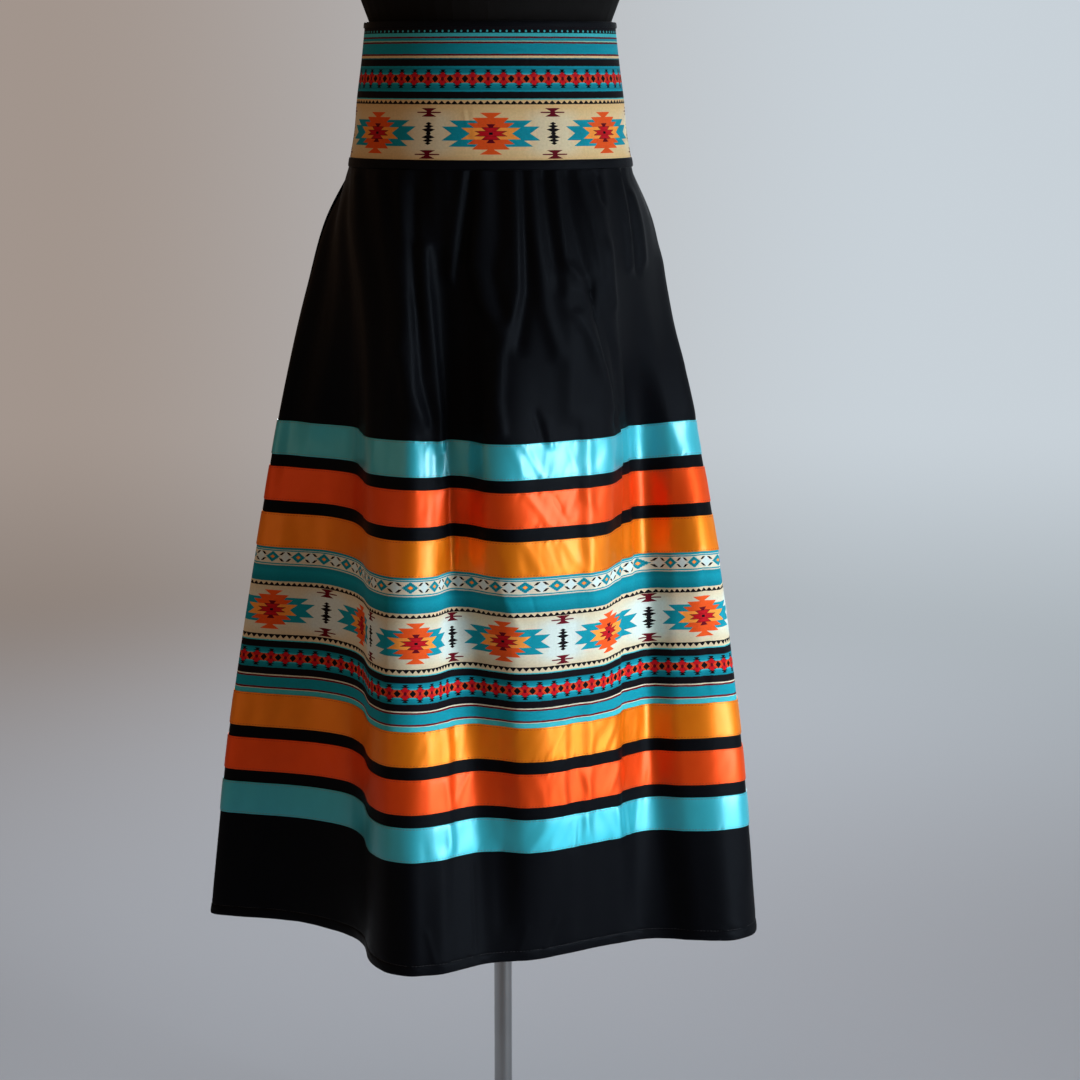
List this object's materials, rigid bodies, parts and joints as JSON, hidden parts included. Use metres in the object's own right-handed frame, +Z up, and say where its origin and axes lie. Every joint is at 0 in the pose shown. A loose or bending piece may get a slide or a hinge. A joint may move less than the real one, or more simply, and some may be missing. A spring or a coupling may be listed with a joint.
{
  "type": "ribbon skirt on a dress form",
  "caption": "Long gathered ribbon skirt with a printed tier, satin ribbon bands and a wide printed waistband, worn by a limbless dress form on a round base.",
  "frame": {"origin": "centre of the underside of the round base, on the axis of the pole", "axes": "+Z up along the pole, the front of the skirt faces -Y, +X is to the right of someone who looks at the front"},
  "size_m": [0.628, 0.394, 1.7775],
  "materials": {
    "black_cotton": "smooth black cotton",
    "printed_cotton": "cream cotton printed in teal, orange, red and black",
    "turquoise_satin": "glossy satin ribbon",
    "orange_satin": "glossy satin ribbon",
    "yellow_satin": "glossy satin ribbon",
    "form_cloth": "matt black jersey cover",
    "chrome": "polished",
    "base_steel": "satin"
  },
  "bodies": {
    "root": {"upper_panel_front": "black_cotton", "upper_panel_back": "black_cotton", "print_panel_front": "printed_cotton", "print_panel_back": "printed_cotton", "lower_panel_front": "black_cotton", "lower_panel_back": "black_cotton", "ribbon_1_front": "turquoise_satin", "ribbon_1_back": "turquoise_satin", "ribbon_2_front": "orange_satin", "ribbon_2_back": "orange_satin", "ribbon_3_front": "yellow_satin", "ribbon_3_back": "yellow_satin", "ribbon_4_front": "yellow_satin", "ribbon_4_back": "yellow_satin", "ribbon_5_front": "orange_satin", "ribbon_5_back": "orange_satin", "ribbon_6_front": "turquoise_satin", "ribbon_6_back": "turquoise_satin", "waistband_front": "printed_cotton", "waistband_back": "printed_cotton", "waist_binding_top_front": "black_cotton", "waist_binding_top_back": "black_cotton", "waist_binding_low_front": "black_cotton", "waist_binding_low_back": "black_cotton", "form_torso": "form_cloth", "stand_pole": "chrome", "stand_base": "base_steel"}
  },
  "joints": []
}
